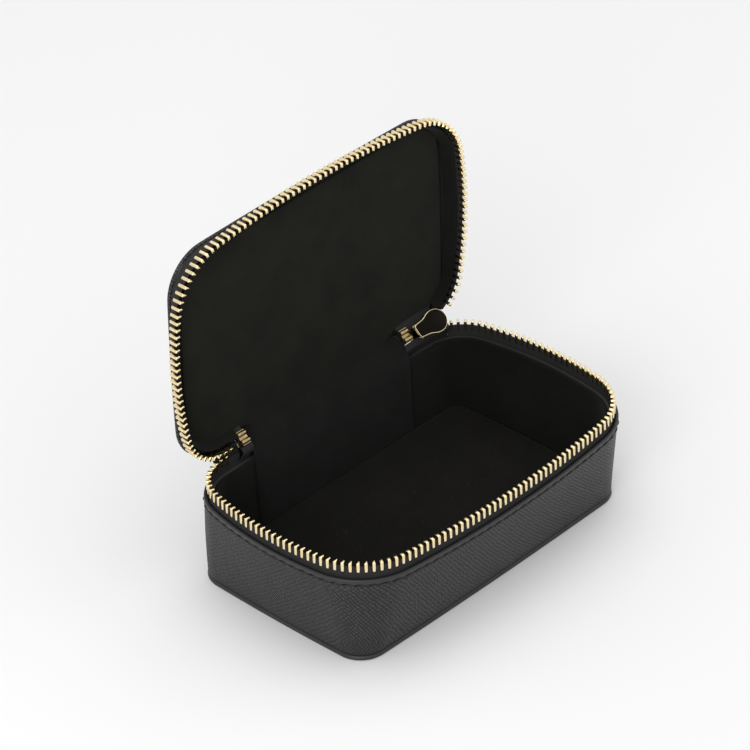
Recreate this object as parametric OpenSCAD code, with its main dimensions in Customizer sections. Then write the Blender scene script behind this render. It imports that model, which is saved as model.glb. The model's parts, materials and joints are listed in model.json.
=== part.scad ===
// Zip-round leather jewellery case: a shallow padded lid on a lined box, joined by a leather
// hinge at the back and closed by one metal zip that runs round the other three sides.
// Frame: origin under the middle of the base, +X to the right, +Y to the back, +Z up.
// The lid is drawn shut and then turned open about the hinge fold.

/* [Zip outline] */
// Half width of the zip line at the middle of the short sides
chain_hx = 60.2; // [52:0.2:74]
// Distance from the centre to the zip line at the front
chain_front = 40.8; // [34:0.2:52]
// Distance from the centre to the zip line at the back
chain_back = 33.2; // [28:0.2:44]
// How far the long front side bows outward
front_bow = 5.6; // [1:0.2:7]
// How far the long back side bows outward
back_bow = 0.6; // [0.3:0.1:1]
// How far each short side bows outward
side_bow = 6; // [1:0.2:7]
// Front corner radius of the zip line
front_r = 20; // [14:0.5:22]
// Back corner radius of the zip line
back_r = 14; // [10:0.5:16]

/* [Base] */
// Height from the rest face to the zip line
base_h = 35; // [28:0.5:60]
// Distance the short sides lean in from the zip line to the bottom panel
foot_side_in = 3; // [1:0.2:6]
// Distance the front leans in from the zip line to the bottom panel
foot_front_in = 6.2; // [2:0.2:8]
// Distance the back leans out from the zip line to the bottom panel
foot_back_out = 1.2; // [0:0.2:2]
// Corner radius of the bottom panel
foot_r = 9; // [8:0.5:14]
// Thickness of the bottom leather
foot_t = 1.6; // [1:0.1:2.4]
// Thickness of the stiff board under the floor
board_t = 1.6; // [1:0.1:2.4]
// Thickness of the foam under the floor pad
foam_t = 1.4; // [0.8:0.1:2.4]
// Thickness of the suede-covered floor pad
pad_t = 1.2; // [0.8:0.1:2]
// Margin by which the bottom panel stands proud of the wall
foot_margin = 0.4; // [0.2:0.1:1]

/* [Wall] */
// Drop from the zip line to the folded leather edge
edge_drop = 4.9; // [4:0.1:7]
// Distance from the zip line out to the leather face
edge_out = 1.6; // [1.5:0.1:2.2]
// Thickness of the wall leather
skin_t = 1.15; // [0.8:0.05:1.2]
// Thickness of the wall stiffener
wall_board_t = 0.9; // [0.6:0.1:1.2]
// Thickness of the suede lining
lining_t = 0.8; // [0.5:0.1:1.2]
// Gap between neighbouring layers
layer_gap = 0.1; // [0.05:0.05:0.2]
// Drop from the zip line to the top of the lining
lining_drop = 4.5; // [4:0.1:7]
// Length of one seam stitch
stitch_l = 2.6; // [1.5:0.1:3.2]
// Distance from one stitch to the next
stitch_pitch = 3.6; // [3.4:0.1:5]
// Distance of the stitch line below the folded edge
stitch_drop = 2; // [1.2:0.1:3]

/* [Lid] */
// Height from the zip line to the outer face of the lid
lid_h = 7.8; // [7:0.2:14]
// Distance the short sides lean in from the zip line to the lid panel
lid_side_in = 4.2; // [2:0.2:6]
// Distance the front leans in from the zip line to the lid panel
lid_front_in = 4.2; // [2:0.2:6]
// Distance the lid panel reaches back past the zip line
lid_back_out = 3; // [2.6:0.1:3.4]
// Corner radius of the lid panel
lid_r = 9; // [8:0.5:14]
// Thickness of the lid leather
panel_t = 1.3; // [1:0.1:1.8]
// Thickness of the lid board
lid_board_t = 0.8; // [0.5:0.1:1.2]
// Thickness of the lid padding
lid_pad_t = 0.6; // [0.4:0.1:1]
// Thickness of the suede on the lid pad
lid_suede_t = 0.6; // [0.4:0.1:1]
// Margin from the panel edge in to the lid pad
lid_pad_in = 2; // [1.8:0.1:3]
// Angle by which the lid stands open
lid_open = 90; // [0:1:98]

/* [Hinge] */
// Distance of the fold line behind the zip line at the back
fold_back = 0.3; // [0.1:0.1:0.6]
// Height of the fold line above the zip line
fold_up = 1.86; // [1.4:0.02:2.6]
// Half width of the outer leather spine
spine_hx = 36; // [28:0.5:40]
// Thickness of the spine leather
spine_t = 0.9; // [0.6:0.1:1.4]
// Clear height kept on each side of the fold
fold_clear = 2.5; // [2.4:0.1:3.5]
// Half width of the inner hinge strip
strip_hx = 34; // [24:0.5:36]
// Thickness of the inner hinge strip
strip_t = 0.7; // [0.5:0.1:1]

/* [Zip] */
// Distance from one tooth to the next on one side
tooth_pitch = 2.2; // [2:0.05:2.6]
// Depth of a tooth through the tape
tooth_t = 1.6; // [1.4:0.1:2]
// Width of a tooth across its shoulders
tooth_w = 1.4; // [1:0.05:1.6]
// Width of a tooth at its tip
tip_w = 0.8; // [0.6:0.02:0.9]
// Reach of the tip past the zip line
tip_reach = 0.5; // [0.3:0.05:0.6]
// Length of a tooth from its foot to the zip line
tooth_l = 2.7; // [2.4:0.1:3.4]
// Thickness of the zip tape
tape_t = 0.6; // [0.4:0.05:0.8]
// Distance from the zip line to the tape's edge
tape_edge = 1.2; // [1:0.1:1.6]
// Depth of the tape that is sewn in behind the leather
tape_tuck = 7; // [4:0.5:9]

/* [Zip ends] */
// Place of each end stop along the hinge
stop_x = 34.6; // [30:0.2:38]
// Length of an end stop along the hinge
stop_l = 3.2; // [2.5:0.1:4.5]
// Height of an end stop
stop_h = 4.4; // [3.6:0.1:5.4]
// Depth of an end stop
stop_t = 3.6; // [3.2:0.1:4.4]
// Height of the end stops above the zip line, with the lid shut
stop_up = 2.2; // [1.8:0.1:2.4]
// Distance of the end stops behind the slider
stop_back = 0.4; // [0:0.1:0.6]
// Height of the slider above the zip line, with the lid shut
ends_up = 1.2; // [0.6:0.1:2]
// Length of the slider
slider_l = 12.4; // [10:0.2:14]
// Height of the slider across its shoulders
slider_h = 7.4; // [6:0.2:9]
// Thickness of a slider plate
plate_t = 0.7; // [0.5:0.05:0.9]
// Clear gap between the slider plates
plate_gap = 4.4; // [3.6:0.1:5]
// Radius of the bar that the puller hangs on
bar_r = 0.55; // [0.45:0.05:0.7]
// Running clearance of the puller's eye on the bar
eye_clear = 0.08; // [0.05:0.01:0.1]
// Length of the metal link
link_l = 7.5; // [6:0.5:10]
// Length of the leather pull tab
tab_l = 17; // [12:1:19]
// Width of the leather pull tab
tab_w = 6.4; // [5:0.2:9]
// Thickness of the leather pull tab
tab_t = 1.7; // [1.4:0.1:2]

/* [Hidden] */

foot_hx = chain_hx - foot_side_in;
foot_front = chain_front - foot_front_in;
foot_back = chain_back + foot_back_out;
lid_hx = chain_hx - lid_side_in;
lid_front = chain_front - lid_front_in;
lid_back = chain_back + lid_back_out;
chain_plan = [chain_hx, chain_front, chain_back, front_bow, back_bow, side_bow, front_r, back_r];
panel_bow = 0.8;
foot_plan = [foot_hx, foot_front, foot_back, panel_bow, panel_bow, panel_bow, foot_r, foot_r];
lid_plan = [lid_hx, lid_front, lid_back, panel_bow, panel_bow, panel_bow, lid_r, lid_r];

wall_top = base_h - edge_drop;
floor_z = foot_t + board_t;
pad_z = floor_z + foam_t;
tape_depth = edge_out - tape_t / 2;
board_depth = edge_out + tape_t / 2 + layer_gap;
lining_depth = board_depth + wall_board_t + 2 * layer_gap;
inner_depth = lining_depth + lining_t;
fold_y = chain_back + fold_back;
fold_z = base_h + fold_up;
stop_gap = 1.2;
slider_x = stop_x + stop_l / 2 + stop_gap + slider_l / 2;
slider_end = slider_x + slider_l / 2;
end_clear = 0.7;
ends_z = base_h + ends_up;
ends_y = fold_y - 0.1;
black = [0.10, 0.10, 0.10];
suede = [0.12, 0.12, 0.11];
gold = [0.83, 0.69, 0.38];

function mix(a, b, t) = a + (b - a) * t;
function arc_radius(half, bow) = (half * half + bow * bow) / (2 * bow);

// Point at distance r1 from c1 and r2 from c2, on the chosen side of the line between them
function meet(c1, r1, c2, r2, side) =
    let (d = norm(c2 - c1), along = (d * d + r1 * r1 - r2 * r2) / (2 * d),
         off = sqrt(max(0, r1 * r1 - along * along)), u = (c2 - c1) / d)
    c1 + u * along + [-u[1], u[0]] * off * side;

function bearing(c, p) = atan2(p[1] - c[1], p[0] - c[0]);

// The nine arcs of a bowed rectangle, clockwise from the middle of its back:
// each is [centre x, centre y, radius, first angle, last angle]
function arcs(p) =
    let (rf = arc_radius(p[0], p[3]), rb = arc_radius(p[0], p[4]),
         rs = arc_radius((p[1] + p[2]) / 2, p[5]),
         cf = [0, rf - p[1]], cb = [0, p[2] - rb], cs = [p[0] - rs, (p[2] - p[1]) / 2],
         kb = meet(cb, rb - p[7], cs, rs - p[7], -1), kf = meet(cf, rf - p[6], cs, rs - p[6], 1),
         ab = bearing(cb, kb), a1 = bearing(cs, kb), a2 = bearing(cs, kf), af = bearing(cf, kf))
    [[0, cb[1], rb, 90, ab], [kb[0], kb[1], p[7], ab, a1], [cs[0], cs[1], rs, a1, a2],
     [kf[0], kf[1], p[6], a2, af], [0, cf[1], rf, af, -180 - af],
     [-kf[0], kf[1], p[6], -180 - af, -180 - a2], [-cs[0], cs[1], rs, -180 - a2, -180 - a1],
     [-kb[0], kb[1], p[7], -180 - a1, -180 - ab], [0, cb[1], rb, -180 - ab, -270]];

// A place on the outline: u counts the arcs, so 1.5 is half way round the second one
function angle_at(a, u) = let (i = min(floor(u), 8)) mix(a[i][3], a[i][4], u - i);
function point_at(a, u, grow) =
    let (i = min(floor(u), 8), w = angle_at(a, u))
    [a[i][0] + (a[i][2] + grow) * cos(w), a[i][1] + (a[i][2] + grow) * sin(w)];

// Places used for every outline, with more of them where the outline turns tightly
steps = [4, 9, 6, 9, 12, 9, 6, 9, 4];
function places(from, to) = concat([from],
    [for (i = [0:8]) for (k = [0:steps[i] - 1]) let (u = i + k / steps[i])
        if (u > from + 0.02 && u < to - 0.02) u], [to]);
around = [for (i = [0:8]) for (k = [0:steps[i] - 1]) i + k / steps[i]];
function outline(plan, grow, us = around) = let (a = arcs(plan)) [for (u = us) point_at(a, u, grow)];

function arc_length(a, i) = a[i][2] * abs(a[i][3] - a[i][4]) * PI / 180;
function length_to(a, u, i = 0) =
    i >= 9 || u <= i ? 0 : arc_length(a, i) * min(1, u - i) + length_to(a, u, i + 1);
function place_at(a, s, i = 0) =
    i >= 8 || s <= arc_length(a, i) ? i + s / arc_length(a, i)
                                    : place_at(a, s - arc_length(a, i), i + 1);

// The zip starts beside the slider on the right and ends beside the left stop
chain = arcs(chain_plan);
right_x = slider_end + end_clear;
right_start = right_x < point_at(chain, 1, 0)[0]
    ? (90 - acos(right_x / chain[0][2])) / (90 - chain[0][4])
    : 1 + (chain[1][3] - acos((right_x - chain[1][0]) / chain[1][2])) / (chain[1][3] - chain[1][4]);
left_end = 8 + (chain[8][3] + 360 - acos(-(stop_x + stop_l / 2 + end_clear) / chain[8][2]))
             / (chain[8][3] - chain[8][4]);
zip_places = places(right_start, left_end);
zip_from = length_to(chain, right_start);
zip_length = length_to(chain, left_end) - zip_from;
tooth_count = floor(zip_length / tooth_pitch) - 1;

// Curved strip that is open at its two ends, between an outer and an inner stack
module strip_wall(outer, inner) {
    n = len(outer[0][1]);
    half = len(outer);
    levels = concat(outer, [for (i = [half - 1:-1:0]) inner[i]]);
    m = len(levels);
    points = [for (l = levels) for (p = l[1]) [p[0], p[1], l[0]]];
    sides = [for (j = [0:m - 1]) for (i = [0:n - 2]) let (q = (j + 1) % m)
        each [[q * n + i + 1, q * n + i, j * n + i], [q * n + i + 1, j * n + i, j * n + i + 1]]];
    ends = [for (j = [0:half - 2]) let (a = j * n, b = a + n, c = (m - 1 - j) * n, d = c - n, e = n - 1)
        each [[a, b, d], [a, d, c], [b + e, a + e, d + e], [d + e, a + e, c + e]]];
    polyhedron(points, concat(sides, ends));
}

// Hollow wall between an outer and an inner stack, closed at top and bottom
module ring_wall(outer, inner) {
    n = len(outer[0][1]);
    levels = concat(outer, [for (i = [len(inner) - 1:-1:0]) inner[i]]);
    m = len(levels);
    points = [for (l = levels) for (p = l[1]) [p[0], p[1], l[0]]];
    faces = [for (j = [0:m - 1]) for (i = [0:n - 1]) let (k = (i + 1) % n, q = (j + 1) % m)
        each [[q * n + k, q * n + i, j * n + i], [q * n + k, j * n + i, j * n + k]]];
    polyhedron(points, faces);
}

// Outline of the wall: t is 0 at the bottom panel and 1 at the folded edge
function wall_outline(t, depth, us = around) =
    outline(mix(foot_plan, chain_plan, t), mix(-foot_margin, edge_out, t) - depth, us);
function wall_t(z) = (z - foot_t) / (wall_top - foot_t);
function wall_levels(z0, z1, depth, us = around) =
    [for (k = [0:5]) let (z = mix(z0, z1, k / 5)) [z, wall_outline(min(1, wall_t(z)), depth, us)]];
module wall_layer(z0, z1, depth, t) {
    ring_wall(wall_levels(z0, z1, depth), wall_levels(z0, z1, depth + t));
}
module slab(z, t, points) {
    translate([0, 0, z]) linear_extrude(t) polygon(points);
}

// Outline of the lid's side: t is 0 at the zip line and 1 at the panel
side_top = lid_h - panel_t - 0.2;
tape_in = 0.6;
function side_levels(z0, z1, grow, top_plan) =
    [for (k = [0:3]) let (z = mix(z0, z1, k / 3), s = (z - tape_edge) / (side_top - tape_edge))
        [base_h + z, outline(mix(chain_plan, top_plan, s), grow - tape_in * s, zip_places)]];
module side_layer(z0, z1, grow, t, top_plan) {
    strip_wall(side_levels(z0, z1, grow + t / 2, top_plan), side_levels(z0, z1, grow - t / 2, top_plan));
}

mesh_gap = 0.3;
module tooth(flip) {
    mirror([0, 0, flip]) {
        translate([-tooth_w * 0.35, -tooth_t * 0.42, -tooth_l])
            cube([tooth_w * 0.7, tooth_t * 0.84, tooth_l * 0.6]);
        translate([-tooth_w / 2, -tooth_t / 2, -tooth_l * 0.5])
            cube([tooth_w, tooth_t, tooth_l * 0.5 - tip_reach - mesh_gap]);
        translate([-tip_w / 2, -tooth_t * 0.4, -tooth_l * 0.4])
            cube([tip_w, tooth_t * 0.8, tooth_l * 0.4 + tip_reach]);
    }
}
module teeth(shift, flip) {
    for (i = [0:tooth_count - 1]) {
        u = place_at(chain, zip_from + (i + 0.5 + shift) * tooth_pitch);
        p = point_at(chain, u, 0);
        translate([p[0], p[1], base_h]) rotate([0, 0, angle_at(chain, u) - 90]) tooth(flip);
    }
}

// Turns what is drawn shut about the fold line; the zip ends turn half as far as the lid
module opened(angle) {
    translate([0, fold_y, fold_z]) rotate([-angle, 0, 0]) translate([0, -fold_y, -fold_z]) children();
}
module on_lid() { opened(lid_open) children(); }
module on_ends() { opened(lid_open / 2) children(); }

module bottom_leather() {
    color(black) slab(0, foot_t, outline(foot_plan, 0));
}
module bottom_board() {
    color("dimgray") slab(foot_t, board_t, wall_outline(0, skin_t + layer_gap));
}
module wall_leather() {
    color(black) wall_layer(foot_t, wall_top, 0, skin_t);
}
module wall_board() {
    color("dimgray") wall_layer(floor_z, wall_top - layer_gap, board_depth, wall_board_t);
}
module wall_lining() {
    color(suede) wall_layer(floor_z, base_h - lining_drop, lining_depth, lining_t);
}
module floor_foam() {
    color("gray") slab(floor_z, foam_t, wall_outline(0, inner_depth + layer_gap));
}
module floor_pad() {
    color(suede) slab(pad_z, pad_t, wall_outline(0, inner_depth + layer_gap));
}

// Stitches lie half sunk in the wall leather, just under its folded edge
module seam_thread() {
    seam_z = wall_top - stitch_drop;
    t = wall_t(seam_z);
    grow = mix(-foot_margin, edge_out, t);
    seam = arcs(mix(foot_plan, chain_plan, t));
    count = floor(length_to(seam, 9) / stitch_pitch);
    step = length_to(seam, 9) / count;
    color([0.06, 0.06, 0.06]) for (i = [0:count - 1]) {
        u = place_at(seam, (i + 0.5) * step);
        p = point_at(seam, u, grow);
        if (!(p[1] > 0 && abs(p[0]) < spine_hx + stitch_pitch))
            translate([p[0], p[1], seam_z]) rotate([0, 0, angle_at(seam, u) - 90])
                cube([stitch_l, 0.36, 0.6], center = true);
    }
}

function tape_levels(depth) =
    [for (z = [wall_top - tape_tuck, wall_top - tape_tuck / 2, wall_top, base_h - tape_edge])
        [z, wall_outline(min(1, wall_t(z)), depth, zip_places)]];
module base_zip_tape() {
    color(black) strip_wall(tape_levels(tape_depth), tape_levels(tape_depth + tape_t));
}
module base_zip_teeth() {
    color(gold) teeth(0, 0);
}

// The spine stands against the back of the wall and stops short of the fold
module base_spine() {
    y0 = foot_back - foot_margin + layer_gap / 2;
    y1 = chain_back + edge_out + layer_gap / 2;
    z0 = foot_t + layer_gap;
    z1 = min(fold_z - fold_clear, base_h + stop_up - stop_h / 2 - 0.6);
    color(black) translate([-spine_hx, 0, 0]) rotate([90, 0, 90]) linear_extrude(2 * spine_hx)
        polygon([[y0, z0], [y1, wall_top], [y1, z1], [y1 + spine_t, z1],
                 [y1 + spine_t, wall_top], [y0 + spine_t, z0]]);
}
strip_gap = layer_gap + max(back_bow, panel_bow) * pow(strip_hx / min(foot_hx, chain_hx), 2);
module base_hinge_strip() {
    y0 = foot_back - foot_margin - inner_depth - strip_gap;
    y1 = chain_back + edge_out - inner_depth - strip_gap;
    z0 = pad_z + pad_t;
    z1 = base_h - lining_drop;
    z2 = fold_z - fold_clear - 1.8;
    color(suede) translate([-strip_hx, 0, 0]) rotate([90, 0, 90]) linear_extrude(2 * strip_hx)
        polygon([[y0 - strip_t, z0], [y1 - strip_t, z1], [y1 + 1.2, z2], [y1 + 1.2 + strip_t, z2],
                 [y1, z1], [y0, z0 + strip_t]]);
}

module lid_leather() {
    color(black) on_lid() slab(base_h + lid_h - panel_t, panel_t, outline(lid_plan, 0));
}
// The lid's inner layers leave room for the stops and the parked slider
ends_left = -stop_x - stop_l / 2 - end_clear;
ends_right = slider_end + end_clear;
pad_back = ends_y - plate_gap / 2 - plate_t - 0.6;
module lid_layer(top, t) {
    difference() {
        slab(base_h + top - t, t, outline(lid_plan, -lid_pad_in));
        translate([ends_left, pad_back, base_h]) cube([ends_right - ends_left, chain_back, 2 * lid_h]);
    }
}
lid_board_top = lid_h - panel_t;
lid_pad_top = lid_board_top - lid_board_t;
lid_suede_top = lid_pad_top - lid_pad_t;
module lid_board() {
    color("dimgray") on_lid() lid_layer(lid_board_top, lid_board_t);
}
module lid_padding() {
    color("gray") on_lid() lid_layer(lid_pad_top, lid_pad_t);
}
module lid_lining() {
    color(suede) on_lid() lid_layer(lid_suede_top, lid_suede_t);
}
side_lining_t = 0.6;
lining_plan = [lid_hx, lid_front, min(lid_back, chain_back - 1), panel_bow, panel_bow, panel_bow,
               lid_r, lid_r];
module lid_side_lining() {
    color(suede) on_lid()
        side_layer(tape_edge + 0.4, lid_suede_top - lid_suede_t - layer_gap,
                   -tooth_t / 2 - 0.6, side_lining_t, lining_plan);
}
module lid_zip_tape() {
    color(black) on_lid() side_layer(tape_edge, side_top, 0, tape_t, lid_plan);
}
module lid_zip_teeth() {
    color(gold) on_lid() teeth(0.5, 1);
}
module lid_spine() {
    y0 = lid_back - lid_pad_in + 0.8;
    z0 = fold_z + fold_clear + 0.45;
    color(black) on_lid()
        translate([-spine_hx, y0, z0]) cube([2 * spine_hx, spine_t, base_h + side_top - z0]);
}
strip_tuck = 6;
strip_z = base_h + lid_suede_top - lid_suede_t - strip_t - layer_gap / 2;
module lid_hinge_strip() {
    color(suede) on_lid()
        translate([-strip_hx, pad_back - strip_tuck, strip_z]) cube([2 * strip_hx, strip_tuck, strip_t]);
}

// A crimped metal box over the ends of both tapes, with two rounded ribs on each face
module stop(side) {
    rib_r = 0.75;
    translate([side * stop_x, ends_y + stop_back, base_h + stop_up]) {
        cube([stop_l, stop_t - 1, stop_h], center = true);
        for (face = [-1, 1]) for (rib = [-1, 1])
            translate([0, face * (stop_t / 2 - rib_r), rib * stop_h * 0.27]) rotate([0, 90, 0])
                cylinder(h = stop_l, r = rib_r, center = true, $fn = 24);
    }
}
module left_stop() {
    color(gold) on_ends() stop(-1);
}
module right_stop() {
    color(gold) on_ends() stop(1);
}

// Two shield-shaped plates on one post; the tapes run between their lips
module slider_plate() {
    tail = slider_h * 0.36;
    linear_extrude(plate_t) {
        translate([slider_l / 2 - slider_h / 2, 0]) circle(d = slider_h, $fn = 48);
        translate([-slider_l / 2 + 1, -tail]) square([slider_l - 1 - slider_h / 2, 2 * tail]);
        for (s = [-1, 1]) translate([-slider_l / 2 + 1, s * (tail - 1)]) circle(r = 1, $fn = 24);
        translate([-slider_l / 2, -tail + 1]) square([2, 2 * tail - 2]);
    }
}
module slider_body() {
    half = plate_gap / 2;
    lip = half - tape_t - 0.3;
    color(gold) on_ends() translate([slider_x, ends_y, ends_z]) {
        translate([0, -half, 0]) rotate([90, 0, 0]) slider_plate();
        translate([0, half + plate_t, 0]) rotate([90, 0, 0]) slider_plate();
        translate([slider_l / 2 - slider_h / 2 - 0.2, -half - 0.1, -1]) cube([2.2, plate_gap + 0.2, 2]);
        for (v = [-1, 1]) for (w = [-1, 1])
            translate([-slider_l / 2 + 1, v > 0 ? half - lip : -half - 0.1,
                       w > 0 ? slider_h * 0.36 - 0.7 : -slider_h * 0.36])
                cube([slider_l * 0.45, lip + 0.1, 0.7]);
    }
}

// The bridge is an arch on the outer plate; its bar runs along the slider
bar_reach = 2.3;
bar_y = ends_y + plate_gap / 2 + plate_t + bar_reach;
bar_l = 6.4;
leg_l = 1.1;
module slider_bridge() {
    color(gold) on_ends() translate([slider_x, bar_y, ends_z]) {
        rotate([0, 90, 0]) cylinder(h = bar_l, r = bar_r, center = true, $fn = 32);
        for (s = [-1, 1]) translate([s * (bar_l / 2 - leg_l / 2) - leg_l / 2, -bar_reach, -bar_r])
            cube([leg_l, bar_reach + bar_r, 2 * bar_r]);
    }
}

// Where the bar stands once the lid and the zip ends have turned
half_turn = lid_open / 2;
bar_open_y = fold_y + (bar_y - fold_y) * cos(half_turn) + (ends_z - fold_z) * sin(half_turn);
bar_open_z = fold_z - (bar_y - fold_y) * sin(half_turn) + (ends_z - fold_z) * cos(half_turn);
eye_r = bar_r + eye_clear;
eye_wall = 0.7;
eye_l = 2.6;
link_t = 1;
module puller_link() {
    color(gold) translate([slider_x, bar_open_y, bar_open_z]) difference() {
        union() {
            rotate([0, 90, 0]) cylinder(h = eye_l, r = eye_r + eye_wall, center = true, $fn = 32);
            translate([-eye_l / 2, -link_t / 2, -link_l + 2]) cube([eye_l, link_t, link_l - 2]);
            translate([0, link_t / 2, -link_l + 2]) rotate([90, 0, 0])
                cylinder(h = link_t, r = 2, $fn = 32);
        }
        rotate([0, 90, 0]) cylinder(h = eye_l + 2, r = eye_r, center = true, $fn = 32);
        translate([0, 2, -link_l + 2]) rotate([90, 0, 0]) cylinder(h = 4, r = rivet_r, $fn = 24);
    }
}

// Two leather faces folded over the link and held by one rivet
rivet_r = 0.8;
rivet_z = bar_open_z - link_l + 2;
tab_top = rivet_z + 2.6;
module tab_outline() {
    translate([-tab_w / 2, -tab_l + tab_w / 2]) square([tab_w, tab_l - tab_w / 2 - 1]);
    translate([0, -tab_l + tab_w / 2]) circle(d = tab_w, $fn = 40);
    translate([-tab_w / 2 + 1, -1.5]) square([tab_w - 2, 1.5]);
    for (s = [-1, 1]) translate([s * (tab_w / 2 - 1), -1]) circle(r = 1, $fn = 24);
}
module pull_tab() {
    color(black) translate([slider_x, bar_open_y + tab_t / 2, tab_top]) rotate([90, 0, 0])
        difference() {
            linear_extrude(tab_t) tab_outline();
            translate([-eye_l / 2 - 0.9, -tab_top + rivet_z - 2.2, tab_t / 2 - link_t / 2])
                cube([eye_l + 1.8, 8, link_t]);
            translate([0, rivet_z - tab_top, -1]) cylinder(h = 4, r = rivet_r, $fn = 24);
        }
}
module tab_rivet() {
    color(gold) translate([slider_x, bar_open_y, rivet_z]) rotate([90, 0, 0]) {
        cylinder(h = tab_t, r = rivet_r, center = true, $fn = 24);
        for (s = [-1, 1]) translate([0, 0, s * (tab_t / 2 + 0.2)])
            cylinder(h = 0.4, r = 1.5, center = true, $fn = 32);
    }
}

bottom_leather();
bottom_board();
wall_leather();
wall_board();
wall_lining();
floor_foam();
floor_pad();
seam_thread();
base_zip_tape();
base_zip_teeth();
base_spine();
base_hinge_strip();
lid_leather();
lid_board();
lid_padding();
lid_lining();
lid_side_lining();
lid_zip_tape();
lid_zip_teeth();
lid_spine();
lid_hinge_strip();
left_stop();
right_stop();
slider_body();
slider_bridge();
puller_link();
pull_tab();
tab_rivet();
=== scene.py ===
# %% [markdown]
# # A zip-round leather jewellery case
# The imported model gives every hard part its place: the wall, the lid, the zip ends and the
# hinge. This script keeps that frame and gives each surface the shape and finish that a
# leather worker would give it. We start by opening the frame and keeping its box.

# %% Open the frame
import json
import math
import bpy
import numpy as np
from mathutils import Matrix, Vector


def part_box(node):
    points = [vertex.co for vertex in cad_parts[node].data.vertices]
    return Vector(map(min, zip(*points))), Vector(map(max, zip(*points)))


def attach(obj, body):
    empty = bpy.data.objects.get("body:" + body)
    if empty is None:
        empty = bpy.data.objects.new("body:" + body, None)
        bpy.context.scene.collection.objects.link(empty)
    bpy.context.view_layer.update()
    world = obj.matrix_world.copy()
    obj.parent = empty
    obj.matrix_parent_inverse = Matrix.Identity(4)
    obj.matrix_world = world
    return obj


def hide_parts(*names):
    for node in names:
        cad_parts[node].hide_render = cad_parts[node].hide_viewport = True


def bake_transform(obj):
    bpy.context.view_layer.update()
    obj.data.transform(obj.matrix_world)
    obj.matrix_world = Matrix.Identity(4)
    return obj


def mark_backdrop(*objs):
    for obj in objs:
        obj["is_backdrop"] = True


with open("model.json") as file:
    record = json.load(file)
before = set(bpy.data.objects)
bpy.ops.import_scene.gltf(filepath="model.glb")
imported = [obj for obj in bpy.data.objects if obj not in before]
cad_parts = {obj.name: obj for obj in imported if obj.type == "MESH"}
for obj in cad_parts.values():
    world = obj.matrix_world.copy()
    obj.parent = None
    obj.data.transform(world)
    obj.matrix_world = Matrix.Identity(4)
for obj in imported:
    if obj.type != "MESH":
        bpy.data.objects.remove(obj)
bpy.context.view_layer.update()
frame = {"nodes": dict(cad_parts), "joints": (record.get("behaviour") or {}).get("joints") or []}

MM = 0.001

# %% [markdown]
# ## Sizes from the frame
# All later shapes hang on a few numbers: the folded leather edge, the bottom panel, the lid
# panel and the fold line. They are read from the CAD nodes, in millimetres, so the looks
# always sit on the real part. Only the thin layers, the bows of the sides and the corner
# radii are repeated here.

# %% Read the sizes
def box_mm(node):
    low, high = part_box(node)
    return np.array(low) * 1000, np.array(high) * 1000


joints = {j["name"]: j for j in frame["joints"]}
fold = np.array(joints["lid_hinge"]["pos_m"]) * 1000
open_angle = -math.radians(joints["lid_hinge"]["range_deg"][0])

wall_low, wall_high = box_mm("wall_leather")
foot_low, foot_high = box_mm("bottom_leather")
lid_low, lid_high = box_mm("lid_leather")

EDGE_OUT = 1.6
SEAM_DROP = 2.0
ZIP_RISE = 4.9
FRONT_BOW, BACK_BOW, SIDE_BOW, PANEL_BOW = 5.6, 0.6, 6.0, 0.8
FRONT_CORNER, BACK_CORNER, LID_CORNER, FOOT_CORNER = 20.0, 14.0, 14.0, 9.0
chain_hx = wall_high[0] - EDGE_OUT
chain_front = -wall_low[1] - EDGE_OUT
chain_back = wall_high[1] - EDGE_OUT
wall_top = wall_high[2]
foot_top = foot_high[2]
seam_z = wall_top - SEAM_DROP
zip_z = wall_top + ZIP_RISE
floor_top = box_mm("floor_pad")[1][2]

# A plan: half width, depth to the front and to the back, the bows of the front, back and
# sides, and the corner radii at the front and at the back.
panel_bows = [PANEL_BOW] * 3
chain_plan = np.array([chain_hx, chain_front, chain_back, FRONT_BOW, BACK_BOW, SIDE_BOW,
                       FRONT_CORNER, BACK_CORNER])
foot_plan = np.array([foot_high[0], -foot_low[1], foot_high[1], *panel_bows, FOOT_CORNER, FOOT_CORNER])
lid_front = lid_high[2] - fold[2] - fold[1]
lid_back = fold[1] + fold[2] - lid_low[2]
lid_plan = np.array([lid_high[0], lid_front, lid_back, *panel_bows, LID_CORNER, LID_CORNER])
lid_outer = lid_high[1] - fold[1] + fold[2] - zip_z
print("zip line", round(chain_hx, 2), round(chain_front, 2), "lid face", round(lid_outer, 2))

# %% [markdown]
# ## One outline for everything
# Wall, tape, teeth, lining and lid all follow the same family of curves: a rectangle with
# bowed sides and round corners, made of nine arcs. A place on it is a single number, so the
# same places can be used at every height and the layers stay in step with each other.

# %% Outline of a bowed rectangle
def meet(c1, r1, c2, r2, side):
    """Where two circles cross; side picks one of the two places."""
    d = np.linalg.norm(c2 - c1)
    along = (d * d + r1 * r1 - r2 * r2) / (2 * d)
    off = math.sqrt(max(0.0, r1 * r1 - along * along))
    u = (c2 - c1) / d
    return c1 + u * along + np.array([-u[1], u[0]]) * off * side


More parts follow.
